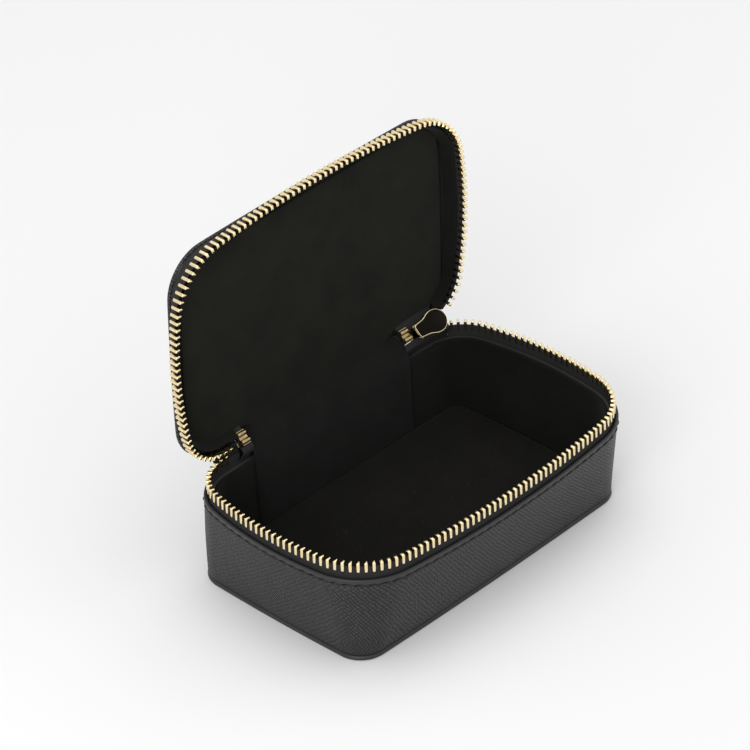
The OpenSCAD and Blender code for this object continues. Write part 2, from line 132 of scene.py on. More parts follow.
def arcs(p):
    """Nine arcs, clockwise from the middle of the back: centre x and y, radius, two angles."""
    def radius(half, bow):
        return (half * half + bow * bow) / (2 * bow)

    rf, rb, rs = radius(p[0], p[3]), radius(p[0], p[4]), radius((p[1] + p[2]) / 2, p[5])
    cf = np.array([0, rf - p[1]])
    cb = np.array([0, p[2] - rb])
    cs = np.array([p[0] - rs, (p[2] - p[1]) / 2])
    kb = meet(cb, rb - p[7], cs, rs - p[7], -1)
    kf = meet(cf, rf - p[6], cs, rs - p[6], 1)
    ab, a1, a2, af = [math.degrees(math.atan2(k[1] - c[1], k[0] - c[0]))
                      for c, k in ((cb, kb), (cs, kb), (cs, kf), (cf, kf))]
    return [(0, cb[1], rb, 90, ab), (kb[0], kb[1], p[7], ab, a1), (cs[0], cs[1], rs, a1, a2),
            (kf[0], kf[1], p[6], a2, af), (0, cf[1], rf, af, -180 - af),
            (-kf[0], kf[1], p[6], -180 - af, -180 - a2), (-cs[0], cs[1], rs, -180 - a2, -180 - a1),
            (-kb[0], kb[1], p[7], -180 - a1, -180 - ab), (0, cb[1], rb, -180 - ab, -270)]


def angle_at(a, u):
    """The direction, in degrees, in which the outline faces at place u: arc number and share."""
    i = min(int(u), 8)
    return a[i][3] + (a[i][4] - a[i][3]) * (u - i)


def point_at(a, u, grow):
    i = min(int(u), 8)
    w = math.radians(angle_at(a, u))
    return (a[i][0] + (a[i][2] + grow) * math.cos(w), a[i][1] + (a[i][2] + grow) * math.sin(w))


def outline(plan, grow, places):
    """Points of a plan's outline, moved outwards by grow."""
    a = arcs(plan)
    return np.array([point_at(a, u, grow) for u in places])


def arc_length(a, i):
    return a[i][2] * math.radians(abs(a[i][3] - a[i][4]))


def place_at(a, s):
    """The place that lies a length s along the outline."""
    for i in range(9):
        if s <= arc_length(a, i) or i == 8:
            return i + s / arc_length(a, i)
        s -= arc_length(a, i)


def length_to(a, u):
    return sum(arc_length(a, i) * min(1, max(0, u - i)) for i in range(9))


STEPS = [9, 14, 12, 16, 24, 16, 12, 14, 9]
around = [i + k / STEPS[i] for i in range(9) for k in range(STEPS[i])]
print("places round the case", len(around))

# %% [markdown]
# ## From rings to surfaces
# Most pieces are skins: a row of rings or strips joined by faces. The helper also writes a
# map in millimetres, distance along the edge against height, so that a grain or a weave can
# be drawn at its true size and always run the right way up.

# %% Mesh helpers
def turn_angles(count):
    """Evenly spaced angles once round a circle."""
    return np.linspace(0, 2 * math.pi, count, endpoint=False)


def new_piece(name, points, faces, finish, uv=None, sharp=42):
    """A mesh object from millimetre points; uv is one (u, v) for each face corner."""
    mesh = bpy.data.meshes.new(name)
    mesh.from_pydata([tuple(np.asarray(p) * MM) for p in points], [],
                     [list(map(int, f)) for f in faces])
    if uv is not None:
        layer = mesh.uv_layers.new(name="grain")
        layer.data.foreach_set("uv", np.asarray(uv, np.float32).ravel())
    mesh.materials.append(finish)
    mesh.update()
    mesh.shade_smooth()
    mesh.set_sharp_from_angle(angle=math.radians(sharp))
    piece = bpy.data.objects.new(name, mesh)
    bpy.context.scene.collection.objects.link(piece)
    return piece


def skin(rings, closed=True, loop=False, caps=False, flip=False):
    """Faces between rings of equal length, with their map in millimetres.
    closed joins the two ends of each ring, loop joins the last ring to the first."""
    rings = np.asarray(rings, float)
    m, n = rings.shape[:2]
    across = np.linalg.norm(np.diff(rings, axis=0), axis=2).mean(1) if m > 1 else np.zeros(0)
    v = np.concatenate([[0], np.cumsum(across)])
    v = np.append(v, v[-1] + np.linalg.norm(rings[0] - rings[-1], axis=1).mean())
    step = np.linalg.norm(np.roll(rings, -1, axis=1) - rings, axis=2).mean(0)
    u = np.concatenate([[0], np.cumsum(step)])
    faces, uv = [], []
    for j in range(m if loop else m - 1):
        for i in range(n if closed else n - 1):
            k, q = (i + 1) % n, (j + 1) % m
            face = [j * n + i, q * n + i, q * n + k, j * n + k]
            spots = [(u[i], v[j]), (u[i], v[j + 1]), (u[i + 1], v[j + 1]), (u[i + 1], v[j])]
            if flip:
                face, spots = face[::-1], spots[::-1]
            faces.append(face)
            uv.extend(spots)
    if caps and loop:
        first = [j * n for j in range(m)]
        last = [j * n + n - 1 for j in range(m)]
        for face in ((first, last[::-1]) if flip else (first[::-1], last)):
            faces.append(face)
            uv.extend([(0, 0)] * m)
    return rings.reshape(-1, 3), faces, uv


def level(points, z):
    """Flat points lifted to one height."""
    return np.column_stack([points, np.full(len(points), z)])


def pad_rings(outer, height, rise, shares=(0.97, 0.93, 0.86, 0.74, 0.58, 0.4, 0.2, 0.06)):
    """Rings that carry a flat edge on to a gently domed middle."""
    return [level(outer * s, height + rise * (1 - s ** 3)) for s in shares]


def filled(rings, flip=False):
    """A skin of rings whose last and first rings are each closed by one small face."""
    points, faces, uv = skin(rings, flip=flip)
    m, n = len(rings), len(rings[0])
    top = [(m - 1) * n + i for i in range(n)]
    bottom = list(range(n))
    pair = (top, bottom[::-1]) if flip else (top[::-1], bottom)
    for face in pair:
        faces.append(face)
        uv.extend([(points[i][0], points[i][1]) for i in face])
    return points, faces, uv


def gather(parts):
    """Joins (points, faces) lists into one, for pieces made of many small solids."""
    points, faces, at = [], [], 0
    for p, f in parts:
        points.extend(p)
        faces.extend([[i + at for i in face] for face in f])
        at += len(p)
    return points, faces


def plate(shape, thickness, bevel, rounds=2):
    """A flat shape in x and y, as a solid with rounded rims, from z = 0 to its thickness."""
    shape = np.asarray(shape, float)
    n = len(shape)
    ahead, behind = np.roll(shape, -1, 0), np.roll(shape, 1, 0)
    edge = ahead - behind
    area = np.sum(shape[:, 0] * ahead[:, 1] - ahead[:, 0] * shape[:, 1])
    inward = np.column_stack([-edge[:, 1], edge[:, 0]]) * (1 if area > 0 else -1)
    inward /= np.maximum(np.linalg.norm(inward, axis=1), 1e-9)[:, None]
    rows = []
    for k in range(rounds + 1):
        w = math.pi / 2 * k / rounds
        rows.append((bevel * (1 - math.sin(w)), bevel * (1 - math.cos(w))))
    rows = rows + [(a, thickness - b) for a, b in rows[::-1]]
    points = [list(p) + [z] for a, z in rows for p in shape + inward * a]
    faces = []
    for j in range(len(rows) - 1):
        for i in range(n):
            k = (i + 1) % n
            faces.append([j * n + i, j * n + k, (j + 1) * n + k, (j + 1) * n + i])
    faces.append(list(range(n))[::-1])
    faces.append([(len(rows) - 1) * n + i for i in range(n)])
    if area < 0:
        faces = [f[::-1] for f in faces]
    return np.array(points), faces


def placed(part, columns, origin):
    """Moves (points, faces): columns are where the part's x, y and z axes go."""
    points, faces = part
    m = np.array(columns, float).T
    moved = np.asarray(points) @ m.T + np.asarray(origin, float)
    return moved, (faces if np.linalg.det(m) > 0 else [f[::-1] for f in faces])


def tube(path, radius, sides=16):
    """A round bar along a path, with a radius for each point and closed ends."""
    path = np.asarray(path, float)
    radius = np.broadcast_to(radius, len(path))
    along = np.gradient(path, axis=0)
    along /= np.linalg.norm(along, axis=1)[:, None]
    hint = np.array([0, 0, 1.0]) if abs(along[0][2]) < 0.8 else np.array([0, 1.0, 0])
    points = []
    for p, d, r in zip(path, along, radius):
        a = np.cross(d, hint)
        a /= np.linalg.norm(a)
        b = np.cross(d, a)
        points += [p + r * (a * math.cos(t) + b * math.sin(t))
                   for t in turn_angles(sides)]
    faces = [[j * sides + i, j * sides + (i + 1) % sides, (j + 1) * sides + (i + 1) % sides,
              (j + 1) * sides + i] for j in range(len(path) - 1) for i in range(sides)]
    faces += [list(range(sides))[::-1], [(len(path) - 1) * sides + i for i in range(sides)]]
    return np.array(points), faces


# The columns that stand a flat shape upright, with its thickness towards the front.
UPRIGHT = ((1, 0, 0), (0, 0, 1), (0, -1, 0))
print("mesh helpers ready")

# %% [markdown]
# ## Writing shader maths as plain expressions
# A finish is a small calculation that runs at every point of the surface. Wrapping a socket
# in a class that knows + - * / lets us write it as one line of maths instead of a web of
# nodes. Any other node comes from one method: its settings first, then its sockets.

# %% A class for shader values
class Value:
    """One output socket of a finish, on which + - * / add Math nodes."""

    def __init__(self, finish, socket):
        self.finish = finish
        self.socket = socket

    def __add__(self, other):
        return self.finish.maths("ADD", self, other)

    def __radd__(self, other):
        return self.finish.maths("ADD", other, self)

    def __sub__(self, other):
        return self.finish.maths("SUBTRACT", self, other)

    def __rsub__(self, other):
        return self.finish.maths("SUBTRACT", other, self)

    def __mul__(self, other):
        return self.finish.maths("MULTIPLY", self, other)

    def __rmul__(self, other):
        return self.finish.maths("MULTIPLY", other, self)

    def __truediv__(self, other):
        return self.finish.maths("DIVIDE", self, other)


class Finish:
    """A node material being built: add() makes a node, maths() joins values."""

    def __init__(self, name, **constants):
        self.material = bpy.data.materials.new(name)
        self.material.use_nodes = True
        self.tree = self.material.node_tree
        self.shader = self.tree.nodes["Principled BSDF"]
        for socket, value in constants.items():
            self.shader.inputs[socket.replace("_", " ")].default_value = value

    def add(self, kind, settings=None, sockets=None, out=0):
        node = self.tree.nodes.new(kind)
        for key, value in (settings or {}).items():
            if key == "stops":
                ramp = node.color_ramp
                while len(ramp.elements) < len(value):
                    ramp.elements.new(0.5)
                for element, (place, shade) in zip(ramp.elements, value):
                    element.position = place
                    element.color = (*shade, 1) if len(shade) == 3 else shade
            else:
                setattr(node, key, value)
        for key, value in (sockets or {}).items():
            self.join(value, node.inputs[key])
        return Value(self, node.outputs[out])

    def join(self, value, socket):
        if isinstance(value, Value):
            self.tree.links.new(value.socket, socket)
        else:
            socket.default_value = value

    def maths(self, operation, *values):
        return self.add("ShaderNodeMath", {"operation": operation}, dict(enumerate(values)))

    def noise(self, where, scale, detail=2.0, roughness=0.5):
        return self.add("ShaderNodeTexNoise", None,
                        {"Vector": where, "Scale": scale, "Detail": detail, "Roughness": roughness})

    def ramp(self, value, low, high):
        return self.add("ShaderNodeMapRange", {"interpolation_type": "SMOOTHSTEP"},
                        {"Value": value, "From Min": low, "From Max": high})

    def blend(self, factor, first, second):
        """Colours mixed by a factor; the colour sockets of a Mix node are its inputs 6 and 7."""
        return self.add("ShaderNodeMix", {"data_type": "RGBA"},
                        {"Factor": factor, 6: first, 7: second}, out=2)

    def place(self):
        """Position in the piece's own space, in millimetres."""
        spot = self.add("ShaderNodeTexCoord", out=3)
        return self.add("ShaderNodeVectorMath", {"operation": "SCALE"}, {0: spot, "Scale": 1000.0})

    def height(self, spot):
        """The upward part of a place."""
        split = self.tree.nodes.new("ShaderNodeSeparateXYZ")
        self.tree.links.new(spot.socket, split.inputs[0])
        return Value(self, split.outputs[2])

    def grain(self):
        """The (u, v) map in millimetres, as two values."""
        spot = self.add("ShaderNodeUVMap", {"uv_map": "grain"})
        split = self.tree.nodes.new("ShaderNodeSeparateXYZ")
        self.tree.links.new(spot.socket, split.inputs[0])
        return Value(self, split.outputs[0]), Value(self, split.outputs[1])

    def give(self, socket, value):
        self.join(value, self.shader.inputs[socket])

    def bump(self, height, depth):
        """height from 0 to 1 raised by depth, in millimetres."""
        self.give("Normal", self.add("ShaderNodeBump", None,
                                     {"Strength": 1.0, "Distance": depth * MM, "Height": height}))
        return self.material


print("shader helpers ready")

# %% [markdown]
# ## The leather
# The case is cut from calf leather with a pressed cross grain: fine slanting ridges about a
# millimetre apart, broken up so that they never look ruled. Two families of waves,
# pushed about by noise, give it. The band above the seam is smooth because there the skin is
# pared, folded and pressed, so a mask along the height fades the ridges out.

# %% Grained leather
def leather(name, shade, grain=True, seam=None):
    """seam is the height of the stitch line: painted shade darkens the groove there, smooth above it."""
    RIDGE_STEP, CUT_STEP, WANDER = 1.02, 1.15, 8.0
    f = Finish(name, Specular_IOR_Level=0.34)
    spot = f.place()
    drift = f.noise(spot, 0.16, 2.0)
    pores = f.noise(spot, 2.6, 3.0)
    wander = f.noise(spot, 0.50, 2.0)
    if grain:
        u, v = f.grain()
        slant = (u * 0.74 - v * 0.67) * (2 * math.pi / RIDGE_STEP) + wander * WANDER
        cross = (u * 0.62 + v * 0.78) * (2 * math.pi / CUT_STEP) + wander * WANDER
        ridge = f.maths("SINE", slant) * 0.5 + 0.5
        cut = f.maths("SINE", cross) * 0.5 + 0.5
        height = ridge * (0.30 + cut * 0.70)
    else:
        height = pores * 0.25 + 0.4
    dark, light = [(c * k, c * k, c * 1.03 * k) for c, k in ((shade, 0.3), (shade, 2.4))]
    tone = f.ramp(height * 0.80 + drift * 0.30, 0.1, 1.0)
    painted_groove_shade = None
    if seam is not None:
        z = f.height(spot)
        smooth = f.ramp(z, seam + 0.05, seam + 0.3)
        height = height * (1 - smooth) + smooth * 0.55
        tone = tone * (1 - smooth) + smooth * 0.42
        # painted shade: a narrow band at the seam height is painted darker, for the shadow the groove
        # holds
        painted_groove_shade = 1 - f.ramp(f.maths("ABSOLUTE", z - seam), 0.12, 0.42)
    colour = f.blend(tone, (*dark, 1), (*light, 1))
    if painted_groove_shade is not None:
        # the painted groove shade pulls the leather colour towards near black
        colour = f.blend(painted_groove_shade * 0.45, colour, (0.001, 0.001, 0.001, 1))
    f.give("Base Color", colour)
    f.give("Roughness", 0.46 - height * 0.14 + pores * 0.10)
    return f.bump(height * 0.88 + pores * 0.12, 0.32 if grain else 0.03)


wall_finish = leather("grained_leather_wall", 0.018, seam=seam_z)
lid_finish = leather("grained_leather_lid", 0.022)
plain_leather = leather("plain_black_leather", 0.016, grain=False)
print("leathers made")

# %% [markdown]
# ## The suede
# Suede is split leather with its nap raised: matt, and a touch cloudy where the nap lies in
# different directions. Slow noise gives the clouds and quick noise the fibres. The floor
# also has a few pale specks of lint, which keep it from looking like flat black paint.

# %% Suede
def suede(name, shade, cloud=0.5, specks=0.0):
    f = Finish(name, Specular_IOR_Level=0.06, Sheen_Weight=0.03, Sheen_Roughness=0.6)
    spot = f.place()
    nap = f.noise(spot, 0.09, 3.0, 0.6)
    fibre = f.noise(spot, 3.4, 3.0, 0.7)
    fuzz = f.noise(spot, 1.2, 2.0)
    tone = f.ramp(nap * (0.4 + cloud * 0.6) + fibre * 0.35, 0.25, 0.95)
    dark, light = (*[c * 0.7 for c in shade], 1), (*[c * 1.45 for c in shade], 1)
    colour = f.blend(tone, dark, light)
    if specks:
        lint = f.noise(spot, 1.7, 1.0)
        colour = f.blend(f.ramp(lint, 0.735, 0.78) * specks, colour, (0.10, 0.085, 0.045, 1))
    f.give("Base Color", colour)
    f.give("Roughness", 0.88 + fibre * 0.12)
    return f.bump(fibre * 0.6 + fuzz * 0.4, 0.06)


lid_suede = suede("suede_lid", (0.0066, 0.0066, 0.0048), cloud=1.0)
wall_suede = suede("suede_wall", (0.0058, 0.0058, 0.0050))
floor_suede = suede("suede_floor", (0.0058, 0.0055, 0.0044), specks=0.4)
strip_suede = suede("suede_hinge_strip", (0.0078, 0.0078, 0.0074))
print("suedes made")

# %% [markdown]
# ## The zip tape
# The tape is a herringbone weave, so its ribs change direction in narrow columns. A wave
# that bounces back and forth across the tape shifts the ribs sideways, and this gives the
# herringbone from a single family of lines.

# %% Woven zip tape
def woven(name, shade):
    COLUMN, RIB_STEP, STRAND_STEP = 1.1, 0.62, 0.34
    f = Finish(name, Specular_IOR_Level=0.25)
    u, v = f.grain()
    spot = f.place()
    column = f.maths("PINGPONG", v, COLUMN)
    rib = f.maths("SINE", (u + column * 1.3) * (2 * math.pi / RIB_STEP)) * 0.5 + 0.5
    strand = f.maths("SINE", (u * 0.35 - column) * (2 * math.pi / STRAND_STEP)) * 0.5 + 0.5
    fluff = f.noise(spot, 3.0, 2.0)
    height = rib * 0.75 + strand * 0.15 + fluff * 0.1
    dark = (shade * 0.25, shade * 0.25, shade * 0.25, 1)
    light = (shade * 2.0, shade * 2.0, shade * 2.05, 1)
    f.give("Base Color", f.blend(height, dark, light))
    f.give("Roughness", 0.72 + fluff * 0.2)
    return f.bump(height, 0.16)


tape_finish = woven("woven_tape", 0.017)
print("tape made")

# %% [markdown]
# ## Thread and metal
# The thread is waxed and twisted, so slanting bands run along each stitch. The zip is plated
# in pale gold and polished, with fine scuffs that make its gloss a little uneven. The end
# stops are a little rougher than the teeth, and their gold is painted darker: a painted dark
# reflection of the surroundings that their tilted faces mirror. The slider's plate that faces
# the case is painted nearly black: a painted reflection of the black lining in its polished face.

# %% Thread and metal
def sewing_thread(name, shade):
    f = Finish(name, Specular_IOR_Level=0.4)
    spot = f.place()
    strand = f.add("ShaderNodeTexWave", {"bands_direction": "DIAGONAL"},
                   {"Vector": spot, "Scale": 0.9, "Distortion": 0.4}, out=1)
    f.give("Base Color", f.blend(strand, (shade * 0.6, shade * 0.6, shade * 0.6, 1),
                                 (shade * 1.5, shade * 1.5, shade * 1.5, 1)))
    f.give("Roughness", 0.45 + strand * 0.1)
    return f.bump(strand, 0.05)


def polished_metal(name, colour, rough):
    f = Finish(name, Metallic=1.0)
    spot = f.place()
    cloud = f.noise(spot, 0.6, 2.0)
    scuff = f.noise(spot, 5.0, 3.0, 0.65)
    deeper = (*[c * 0.93 for c in colour], 1)
    f.give("Base Color", f.blend(f.ramp(cloud, 0.3, 0.7), deeper, (*colour, 1)))
    f.give("Roughness", rough + scuff * 0.12)
    return f.bump(scuff * 0.6 + cloud * 0.4, 0.02)


thread_finish = sewing_thread("black_thread", 0.006)
gold = polished_metal("pale_gold_metal", (0.95, 0.79, 0.48), 0.14)
# painted reflection: the end stops' gold is painted darker for the dark surroundings their faces mirror
stop_metal = polished_metal("deep_gold_metal", (0.46, 0.36, 0.19), 0.24)
# painted reflection: the slider's front plate is painted nearly black for the black lining it mirrors
shaded_metal = polished_metal("dark_plated_metal", (0.010, 0.009, 0.007), 0.35)
print("thread and metals made")

# %% [markdown]
# ## Board and foam
# Five hidden parts keep the shapes that the CAD gives them: the boards that stiffen the
# case and the foam under the suede. They only need a plain finish, so no new piece is drawn
# and their own material is changed.

# %% Finishes of the hidden parts
def board(name, colour):
    f = Finish(name)
    pulp = f.noise(f.place(), 1.4, 4.0, 0.7)
    f.give("Base Color", f.blend(pulp, (*[c * 0.7 for c in colour], 1), (*colour, 1)))
    f.give("Roughness", 0.8 + pulp * 0.15)
    return f.bump(pulp, 0.05)


grey_board = board("grey_board", (0.10, 0.09, 0.08))
foam = board("charcoal_foam", (0.03, 0.03, 0.03))
for node, finish in (("bottom_board", grey_board), ("wall_board", foam), ("floor_foam", foam),
                     ("lid_board", foam), ("lid_padding", foam)):
    carried = frame["nodes"][node]
    carried.data.materials.clear()
    carried.data.materials.append(finish)
print("all finishes made")

# %% [markdown]
# ## The camera
# The case is seen from its front left corner, from above, with a long lens so that its lines
# stay nearly parallel. It is aimed at a point by the hinge, at the height of the zip, and the
# distance and the focal length together set how large the case is seen.

# %% Camera
def look(azimuth, elevation, roll):
    """The camera's three directions: back along the view, right and up."""
    a, e, r = map(math.radians, (azimuth, elevation, roll))
    back = Vector((math.sin(a) * math.cos(e), -math.cos(a) * math.cos(e), math.sin(e)))
    right = (-back).cross(Vector((0, 0, 1))).normalized()
    up = right.cross(-back)
    right, up = (right * math.cos(r) + up * math.sin(r), up * math.cos(r) - right * math.sin(r))
    return back, right, up


DISTANCE = 1.44575
back, right, up = look(-45.55, 34.85, -2.0)
aim = Vector((16.25, 28.69, zip_z)) * MM
lens_data = bpy.data.cameras.new("camera")
lens_data.sensor_width = 36.0
lens_data.lens = 234.4
camera = bpy.data.objects.new("camera", lens_data)
turn = Matrix((right, up, back)).transposed().to_4x4()
camera.matrix_world = Matrix.Translation(aim + back * DISTANCE) @ turn
lens_data.clip_start = 0.1
lens_data.clip_end = 50
bpy.context.scene.collection.objects.link(camera)
bpy.context.scene.camera = camera
print("camera at", [round(v, 3) for v in aim + back * DISTANCE])

# %% [markdown]
# ## Floor and light
# A pale floor and broad soft lights give the even studio look. The metal and the pressed
# grain need something bright to mirror, so the surroundings are pale too. The strongest light
# is on the left, which leaves the right side of the case a little darker.

# %% Floor, surroundings and lights
def studio_floor():
    mesh = bpy.data.meshes.new("studio_floor")
    half = 3.0
    corners = [(-half, -half, 0), (half, -half, 0), (half, half, 0), (-half, half, 0)]
    mesh.from_pydata(corners, [], [(0, 1, 2, 3)])
    f = Finish("pale_floor", Specular_IOR_Level=0.2)
    f.give("Base Color", (0.76, 0.76, 0.76, 1))
    f.give("Roughness", 0.75)
    mesh.materials.append(f.material)
    floor = bpy.data.objects.new("studio_floor", mesh)
    bpy.context.scene.collection.objects.link(floor)
    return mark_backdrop(floor) or floor


def soft_light(name, place, aim_at, size, power):
    """A softbox of a width and height in metres, turned towards a point."""
    data = bpy.data.lights.new(name, "AREA")
    data.shape = "RECTANGLE"
    data.size, data.size_y = size
    data.energy = power
    lamp = bpy.data.objects.new(name, data)
    lamp.location = place
    lamp.rotation_mode = "QUATERNION"
    lamp.rotation_quaternion = (Vector(place) - Vector(aim_at)).to_track_quat("Z", "Y")
    bpy.context.scene.collection.objects.link(lamp)
    return lamp


studio_floor()
world = bpy.data.worlds.new("pale_room")
world.use_nodes = True
world.node_tree.nodes["Background"].inputs["Color"].default_value = (1, 1, 1, 1)
world.node_tree.nodes["Background"].inputs["Strength"].default_value = 0.84
bpy.context.scene.world = world
soft_light("top_softbox", (0.1, 0.1, 1.0), (0, 0, 0.03), (0.9, 0.9), 3.2)
soft_light("right_softbox", (0.95, -0.35, 0.45), (0, 0, 0.04), (0.5, 0.6), 0.6)
soft_light("left_softbox", (-0.9, -0.4, 0.5), (0, 0, 0.02), (0.6, 0.7), 5.6)
bpy.context.scene.view_settings.view_transform = "Standard"
print("studio ready")

# %% [markdown]
# ## The wall of the base
# The wall is one strip of leather wrapped round a board. Its section tells the story of how
# it is made: it stands on the bottom panel, rises with a slight belly, dips at the line of
# stitches and ends in a folded edge that stands a little proud and rounds over to the tape.
# One section is given as a list of points and carried round all nine arcs.

# %% Wall leather
SKIN = 1.15
MARGIN = 0.4
BELLY = 0.22


def mix(a, b, t):
    return a + (b - a) * t


def wall_share(z):
    """0 at the bottom panel and 1 at the folded edge."""
    return min(1.0, max(0.0, (z - foot_top) / (wall_top - foot_top)))


def wall_ring(z, out, places=around):
    """A ring of the wall at a height, moved outwards from its leather surface."""
    t = wall_share(z)
    return level(outline(mix(foot_plan, chain_plan, t), mix(-MARGIN, EDGE_OUT, t) + out, places), z)


wall_section = [(foot_top + 0.02, -SKIN), (foot_top + 0.02, -0.70), (foot_top + 0.12, -0.30),
                (foot_top + 0.40, -0.06), (foot_top + 1.1, 0.03)]
wall_section += [(z, 0.03 + BELLY * math.sin(math.pi * (z - 2.7) / 24.0)) for z in np.linspace(5, 26, 8)]
wall_section += [(seam_z - 0.9, 0.10), (seam_z - 0.45, 0.05), (seam_z - 0.2, -0.12), (seam_z, -0.20),
                 (seam_z + 0.2, -0.14), (seam_z + 0.42, 0.0), (seam_z + 0.8, 0.06), (seam_z + 1.4, 0.08),
                 (wall_top - 0.25, 0.05), (wall_top - 0.07, -0.08), (wall_top, -0.28),
                 (wall_top, -0.66), (wall_top - 0.08, -0.92), (wall_top - 0.3, -1.06),
                 (wall_top - 0.8, -SKIN), (15, -SKIN)]
points, faces, uv = skin([wall_ring(z, out) for z, out in wall_section], loop=True)
wall = new_piece("wall_leather_skin", points, faces, wall_finish, uv, sharp=60)
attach(wall, "base")
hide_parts("wall_leather")
print("wall faces", len(faces))

# %% [markdown]
# ## The seam
# A lock-stitched seam is a row of short, slightly slanting bars, each sinking into its hole
# at both ends. One stitch is drawn as a thin bar on a bow and set down again and again along
# the dip in the wall. The seam leaves out the part of the back that the hinge leather covers.

# %% Stitches
def stitch(length, width, height):
    """One raised stitch along x, thinner towards its ends."""
    path = [(x * length / 2, 0, height * (1 - x * x) - 0.12) for x in np.linspace(-1, 1, 7)]
    return tube(path, [width * s for s in (0.35, 0.75, 0.95, 1.0, 0.95, 0.75, 0.35)], sides=8)


def seam_frames(z, out, pitch, skip):
    """Each stitch's place and outward direction, evenly shared round the wall."""
    t = wall_share(z)
    a = arcs(mix(foot_plan, chain_plan, t))
    total = length_to(a, 9)
    count = int(total / pitch)
    for i in range(count):
        u = place_at(a, (i + 0.5) * total / count)
        w = math.radians(angle_at(a, u))
        x, y = point_at(a, u, mix(-MARGIN, EDGE_OUT, t) + out)
        if not skip(x, y):
            yield np.array([x, y, z]), np.array([math.cos(w), math.sin(w), 0.0])


spine_hx = box_mm("base_spine")[1][0]
stitches = []
one_stitch = stitch(2.7, 0.34, 0.26)
STITCH_PITCH = 3.5
STITCH_SLANT = 0.2
for spot, outward in seam_frames(seam_z, -0.06, STITCH_PITCH,
                                 lambda x, y: y > 0 and abs(x) < spine_hx + 2.4):
    along = np.cross([0, 0, 1.0], outward)
    along = along * math.cos(STITCH_SLANT) + np.array([0, 0, 1.0]) * math.sin(STITCH_SLANT)
    side = np.cross(outward, along)
    stitches.append(placed(one_stitch, (along, side, outward), spot))
points, faces = gather(stitches)
seam = new_piece("seam_stitches", points, faces, thread_finish)
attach(seam, "base")
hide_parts("seam_thread")
print("stitches", len(stitches))

# %% [markdown]
# ## The bottom panel
# The bottom is a separate sheet of leather on a board, with a burnished round rim that shows
# as a fine line under the wall. A few rings of a rounded section make the rim, and smaller
# rings carry the flat faces in to the middle.

# %% Bottom panel
def foot_ring(out, z):
    return level(outline(foot_plan, out, around), z)


rim = [(-1.3, 0.0), (-0.75, 0.04), (-0.42, 0.2), (-0.28, 0.5), (-0.28, 0.95), (-0.42, 1.3),
       (-0.75, foot_top - 0.04), (-1.2, foot_top)]
foot_rings = [level(outline(foot_plan, 0, around) * s, 0.0) for s in (0.1, 0.5, 0.9)]
foot_rings += [foot_ring(out, z) for out, z in rim]
foot_rings += [level(outline(foot_plan, 0, around) * s, foot_top) for s in (0.9, 0.5, 0.1)]
points, faces, uv = filled(foot_rings)
panel = new_piece("bottom_panel", points, faces, plain_leather, uv)
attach(panel, "base")
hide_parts("bottom_leather")
print("bottom panel faces", len(faces))

# %% [markdown]
# ## The lining of the wall
# The suede is glued to a board and its top edge is turned over a fine cord, which leaves a
# soft round ridge just below the zip. The section is carried round like the wall's, so the
# lining keeps an even distance from the leather.

# %% Wall lining
LINING_IN = 3.1
lining_top = box_mm("wall_lining")[1][2]
bead = 0.55
LINING_THICK = 0.8
LINING_FOOT = 4.0
lining_section = [(LINING_FOOT, -LINING_IN - LINING_THICK)]
lining_section += [(z, -LINING_IN - LINING_THICK - 0.14 * math.sin(math.pi * z / 28))
                   for z in (7, 12, 17, 22, 26)]
lining_section += [(lining_top - 1.35, -LINING_IN - 0.84), (lining_top - 1.1, -LINING_IN - 1.0)]
lining_section += [(lining_top - bead + bead * math.sin(w), -LINING_IN - 0.62 - bead * math.cos(w))
                   for w in np.linspace(-0.6, math.pi, 9)]
lining_section += [(lining_top - 1.4, -LINING_IN), (LINING_FOOT, -LINING_IN)]
points, faces, uv = skin([wall_ring(z, out) for z, out in lining_section], loop=True, flip=True)
lining = new_piece("suede_wall_lining", points, faces, wall_suede, uv, sharp=70)
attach(lining, "base")
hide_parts("wall_lining")
print("wall lining faces", len(faces))

# %% [markdown]
# ## The floor pad
# The floor is a separate pad pushed down inside: a crowned cushion of suede over thin foam,
# with its edge rolled under.

# %% Floor pad
pad_low, pad_high = box_mm("floor_pad")
pad_grow = pad_high[0] - foot_high[0] + 0.1
pad_section = [(-1.2, pad_low[2]), (-0.4, pad_low[2] + 0.02), (-0.1, pad_low[2] + 0.25),
               (0, pad_low[2] + 0.6), (-0.16, pad_high[2] - 0.28), (-0.6, pad_high[2] - 0.06),
               (-1.4, pad_high[2] + 0.02)]
pad_rings_all = [level(outline(foot_plan, pad_grow - 1.2, around) * s, pad_low[2])
                 for s in (0.1, 0.5, 0.95)]
pad_rings_all += [level(outline(foot_plan, pad_grow + g, around), z) for g, z in pad_section]
pad_rings_all += pad_rings(outline(foot_plan, pad_grow - 1.4, around), pad_high[2] + 0.02, 0.25)
points, faces, uv = filled(pad_rings_all)
floor_pad = new_piece("suede_floor_pad", points, faces, floor_suede, uv, sharp=60)
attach(floor_pad, "base")
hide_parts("floor_pad")
print("floor pad faces", len(faces))

# %% [markdown]
# ## The zip
# A metal zip is two woven tapes with a row of teeth clamped on the edge of each. It runs all
# round the front and sides and stops short of the middle of the back, where the hinge is. We
# first work out where it starts and ends: where the outline meets the slider on the right
# and the end stop on the left.

# %% Where the zip runs
PITCH = 2.2
stop_low, stop_high = box_mm("left_stop")
slider_low, slider_high = box_mm("slider_body")
chain = arcs(chain_plan)
CLEAR = 0.7
right_x = slider_high[0] + CLEAR
left_x = stop_low[0] - CLEAR
right_start = 1 + (chain[1][3] - math.degrees(math.acos((right_x - chain[1][0]) / chain[1][2]))
                   ) / (chain[1][3] - chain[1][4])
left_end = 8 + (chain[8][3] + 360 - math.degrees(math.acos(left_x / chain[8][2]))
                ) / (chain[8][3] - chain[8][4])
zip_places = [right_start, *[u for u in around if right_start + 0.02 < u < left_end - 0.02], left_end]
zip_from = length_to(chain, right_start)
zip_length = length_to(chain, left_end) - zip_from
tooth_count = int(zip_length / PITCH) - 1
print("zip places", round(right_start, 3), round(left_end, 3), "teeth a side", tooth_count)

